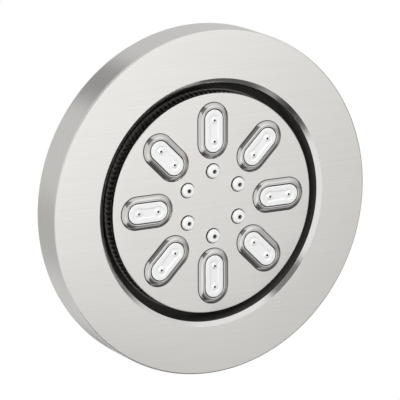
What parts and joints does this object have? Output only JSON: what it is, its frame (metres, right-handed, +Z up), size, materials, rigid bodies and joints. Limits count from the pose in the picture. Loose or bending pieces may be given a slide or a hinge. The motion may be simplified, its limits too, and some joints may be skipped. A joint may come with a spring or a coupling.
{
  "type": "ceiling shower head",
  "caption": "Round ceiling shower head: a brushed metal trim ring round a swivelling spray face with oblong nozzle pads and small cone nozzles, on a ball joint with a threaded inlet.",
  "frame": {"origin": "middle of the four ceiling fixing holes, in the plane of the ceiling", "axes": "+Z up into the ceiling, along the inlet; the spray face looks along -Z; X and Y point at nozzle pads"},
  "size_m": [0.15, 0.15, 0.0597],
  "materials": {
    "brushed_nickel": "fine straight brushing, satin",
    "dark_steel": "dark satin metal",
    "polished_chrome": "polished",
    "white_silicone": "soft satin silicone",
    "black_plastic": "semi-gloss",
    "grey_plastic": "moulded, fine grain",
    "pale_plastic": "moulded",
    "black_rubber": "matt",
    "brass": "turned",
    "ball_chrome": "polished",
    "spring_steel": "bright"
  },
  "bodies": {
    "housing": {"mounting_frame": "grey_plastic", "ceiling_gasket": "black_rubber", "trim_ring": "brushed_nickel", "trim_oring": "black_rubber", "swivel_bowl": "black_plastic", "bowl_screw_1": "spring_steel", "bowl_screw_2": "spring_steel", "bowl_screw_3": "spring_steel", "bowl_screw_4": "spring_steel", "inlet_body": "brass", "inlet_washer": "spring_steel", "inlet_locknut": "brass", "inlet_strainer": "spring_steel", "flow_regulator": "pale_plastic", "ball_seal": "black_rubber", "retaining_nut": "brass"},
    "swivel_seat": {"seat_ring": "pale_plastic"},
    "neck": {"ball_stem": "ball_chrome", "stem_oring": "black_rubber", "stem_clip": "spring_steel"},
    "spray_head": {"head_shell": "black_plastic", "chamber_seal": "black_rubber", "distributor": "pale_plastic", "nozzle_mat": "white_silicone", "knurled_ring": "dark_steel", "spray_plate": "brushed_nickel", "bezel_1": "polished_chrome", "bezel_2": "polished_chrome", "bezel_3": "polished_chrome", "bezel_4": "polished_chrome", "bezel_5": "polished_chrome", "bezel_6": "polished_chrome", "bezel_7": "polished_chrome", "bezel_8": "polished_chrome", "pad_1": "white_silicone", "pad_2": "white_silicone", "pad_3": "white_silicone", "pad_4": "white_silicone", "pad_5": "white_silicone", "pad_6": "white_silicone", "pad_7": "white_silicone", "pad_8": "white_silicone"}
  },
  "joints": [
    {"name": "seat_turn", "type": "hinge", "parent": "housing", "child": "swivel_seat", "pos_m": [0, 0, 0.0078], "axis": [0, 0, 1], "continuous": true},
    {"name": "head_tilt", "type": "hinge", "parent": "swivel_seat", "child": "neck", "pos_m": [0, 0, 0.0078], "axis": [1, 0, 0], "range_deg": [-10, 10]},
    {"name": "head_spin", "type": "hinge", "parent": "neck", "child": "spray_head", "pos_m": [0, 0, -0.0085], "axis": [0, 0, 1], "continuous": true}
  ]
}
